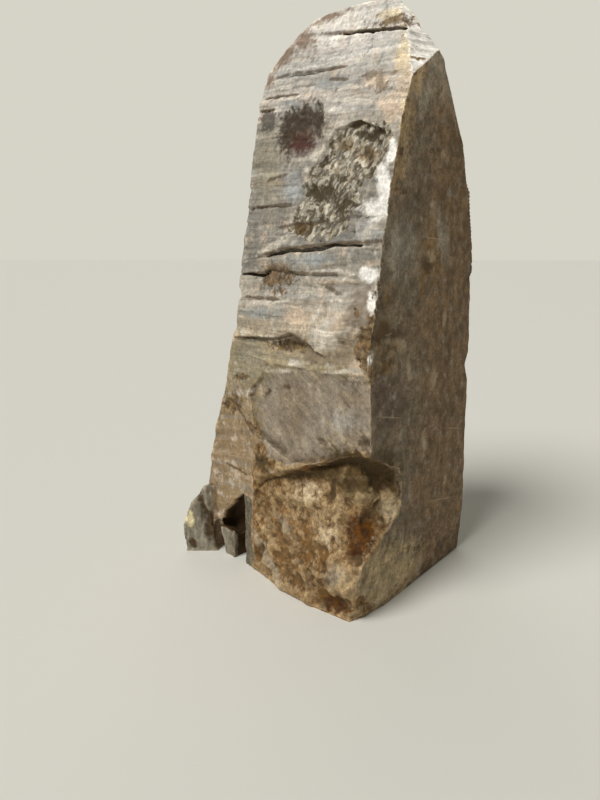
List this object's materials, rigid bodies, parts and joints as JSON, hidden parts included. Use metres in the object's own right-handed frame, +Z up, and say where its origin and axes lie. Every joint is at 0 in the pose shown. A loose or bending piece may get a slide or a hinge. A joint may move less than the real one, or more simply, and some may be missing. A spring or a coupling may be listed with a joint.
{
  "type": "soapstone block",
  "caption": "Upright tapering block of raw soapstone with one sawn face, one split and layered face and a broken foot, standing on a flat sawn end.",
  "frame": {"origin": "centre of the block's footprint, on the plane it stands on", "axes": "+Z up to the ridge; the sawn face looks along -Y and the split face along -X"},
  "size_m": [0.14, 0.161, 0.364],
  "materials": {
    "soapstone": "matt raw soapstone: pale grey layers with cream, brown and rust stains on the split face, grey-brown sawn face, sugary broken foot"
  },
  "bodies": {
    "root": {"soapstone_block": "soapstone"}
  },
  "joints": []
}
